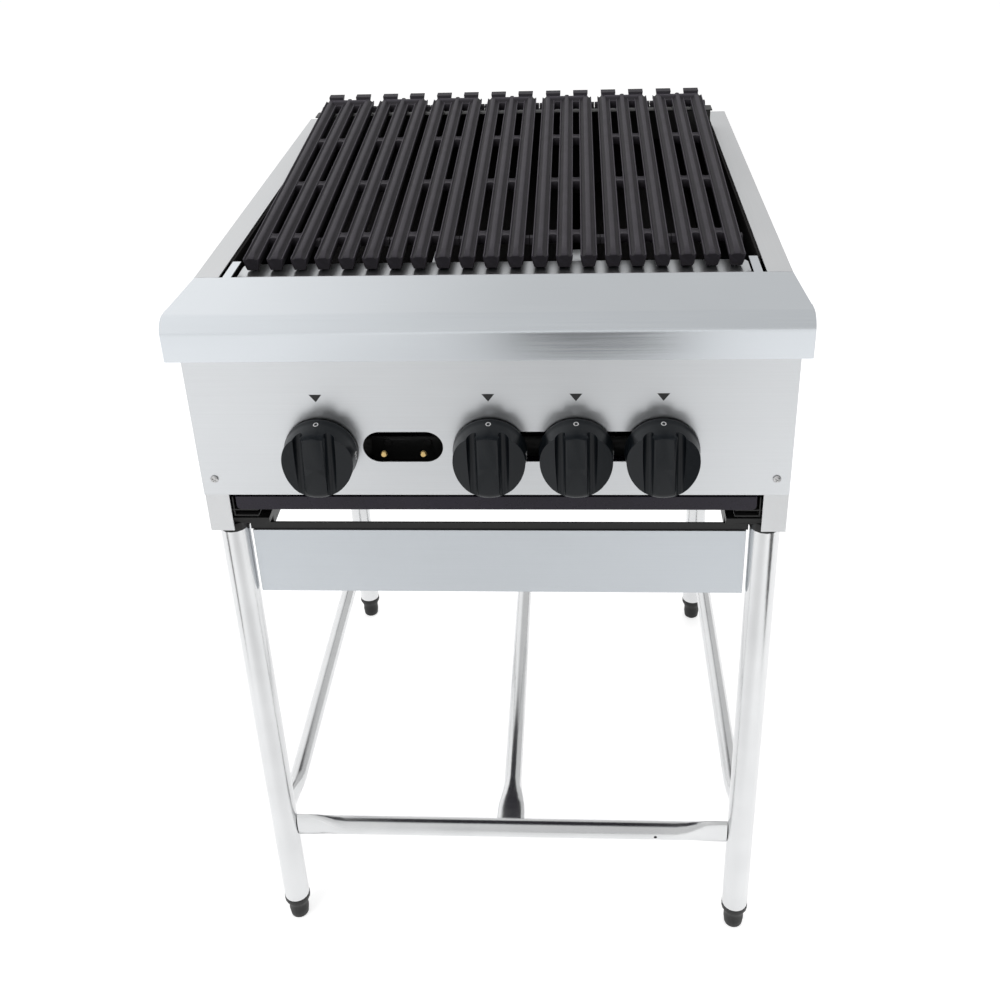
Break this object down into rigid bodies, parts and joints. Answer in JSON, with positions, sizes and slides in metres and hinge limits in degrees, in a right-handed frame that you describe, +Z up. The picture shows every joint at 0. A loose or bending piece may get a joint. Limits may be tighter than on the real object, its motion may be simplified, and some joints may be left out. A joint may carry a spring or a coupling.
{
  "type": "charbroiler grill",
  "caption": "Gas charbroiler with sloped lift-out cast grates over a drip tray, knobs on a stainless front, and a tubular stand.",
  "frame": {"origin": "on the floor, under the middle of the part's box", "axes": "+Z up; the knobs face -Y; +X is to the right of a person who faces the knobs"},
  "size_m": [0.61, 0.728, 0.9406],
  "materials": {
    "brushed_stainless": "brushed stainless sheet, fine grain across the front",
    "bright_tube": "polished stainless tube",
    "cast_iron": "seasoned grey iron casting, fine sand grain",
    "black_enamel": "gloss black vitreous enamel",
    "black_paint": "satin black paint",
    "aluminised_sheet": "dull aluminised steel sheet",
    "bakelite": "moulded black bakelite, semi-gloss",
    "brass": "machined brass",
    "zinc_plated": "zinc plated steel",
    "black_pipe": "dark steel pipe",
    "foot_plastic": "moulded black plastic"
  },
  "bodies": {
    "cabinet": {"apron": "brushed_stainless", "apron_rail": "black_paint", "base_frame": "black_paint", "burner_1": "black_pipe", "burner_2": "black_pipe", "burner_3": "black_pipe", "corner_screw_left": "zinc_plated", "corner_screw_right": "zinc_plated", "foot_front_left": "foot_plastic", "foot_front_right": "foot_plastic", "foot_rear_left": "foot_plastic", "foot_rear_right": "foot_plastic", "front_landing": "brushed_stainless", "front_panel": "brushed_stainless", "gas_manifold": "black_pipe", "gas_valve_1": "brass", "gas_valve_2": "brass", "gas_valve_3": "brass", "gas_valve_4": "brass", "grate_support_front": "brushed_stainless", "grate_support_rear": "black_paint", "leg_front_left": "bright_tube", "leg_front_right": "bright_tube", "leg_rear_left": "bright_tube", "leg_rear_right": "bright_tube", "liner_front": "aluminised_sheet", "liner_left": "aluminised_sheet", "liner_rear": "aluminised_sheet", "liner_right": "aluminised_sheet", "manifold_bracket": "black_paint", "pilot_burner": "black_pipe", "radiant_1": "aluminised_sheet", "radiant_2": "aluminised_sheet", "radiant_3": "aluminised_sheet", "rear_panel": "brushed_stainless", "side_panel_left": "brushed_stainless", "side_panel_right": "brushed_stainless", "stretcher_centre": "bright_tube", "stretcher_front": "bright_tube", "stretcher_left": "bright_tube", "stretcher_rear": "bright_tube", "stretcher_right": "bright_tube", "tray_runner_left": "black_paint", "tray_runner_right": "black_paint"},
    "grate_1_casting": {"grate_1": "cast_iron"},
    "grate_2_casting": {"grate_2": "cast_iron"},
    "grate_3_casting": {"grate_3": "cast_iron"},
    "grate_4_casting": {"grate_4": "cast_iron"},
    "grate_5_casting": {"grate_5": "cast_iron"},
    "grate_6_casting": {"grate_6": "cast_iron"},
    "grate_7_casting": {"grate_7": "cast_iron"},
    "knob_1_set": {"knob_1": "bakelite", "valve_stem_1": "zinc_plated"},
    "knob_2_set": {"knob_2": "bakelite", "valve_stem_2": "zinc_plated"},
    "knob_3_set": {"knob_3": "bakelite", "valve_stem_3": "zinc_plated"},
    "knob_4_set": {"knob_4": "bakelite", "valve_stem_4": "zinc_plated"},
    "tray": {"drip_tray": "black_enamel"}
  },
  "joints": [
    {"name": "grate_1_lift", "type": "slide", "parent": "cabinet", "child": "grate_1_casting", "axis": [0, 0, 1], "range_m": [0, 0.15]},
    {"name": "grate_2_lift", "type": "slide", "parent": "cabinet", "child": "grate_2_casting", "axis": [0, 0, 1], "range_m": [0, 0.15]},
    {"name": "grate_3_lift", "type": "slide", "parent": "cabinet", "child": "grate_3_casting", "axis": [0, 0, 1], "range_m": [0, 0.15]},
    {"name": "grate_4_lift", "type": "slide", "parent": "cabinet", "child": "grate_4_casting", "axis": [0, 0, 1], "range_m": [0, 0.15]},
    {"name": "grate_5_lift", "type": "slide", "parent": "cabinet", "child": "grate_5_casting", "axis": [0, 0, 1], "range_m": [0, 0.15]},
    {"name": "grate_6_lift", "type": "slide", "parent": "cabinet", "child": "grate_6_casting", "axis": [0, 0, 1], "range_m": [0, 0.15]},
    {"name": "grate_7_lift", "type": "slide", "parent": "cabinet", "child": "grate_7_casting", "axis": [0, 0, 1], "range_m": [0, 0.15]},
    {"name": "knob_1_turn", "type": "hinge", "parent": "cabinet", "child": "knob_1_set", "pos_m": [-0.171, -0.326, 0.7315], "axis": [0, -1, 0], "range_deg": [0, 180]},
    {"name": "knob_2_turn", "type": "hinge", "parent": "cabinet", "child": "knob_2_set", "pos_m": [0, -0.326, 0.7315], "axis": [0, -1, 0], "range_deg": [0, 180]},
    {"name": "knob_3_turn", "type": "hinge", "parent": "cabinet", "child": "knob_3_set", "pos_m": [0.086, -0.326, 0.7315], "axis": [0, -1, 0], "range_deg": [0, 180]},
    {"name": "knob_4_turn", "type": "hinge", "parent": "cabinet", "child": "knob_4_set", "pos_m": [0.171, -0.326, 0.7315], "axis": [0, -1, 0], "range_deg": [0, 180]},
    {"name": "tray_slide", "type": "slide", "parent": "cabinet", "child": "tray", "axis": [0, -1, 0], "range_m": [0, 0.45]}
  ]
}
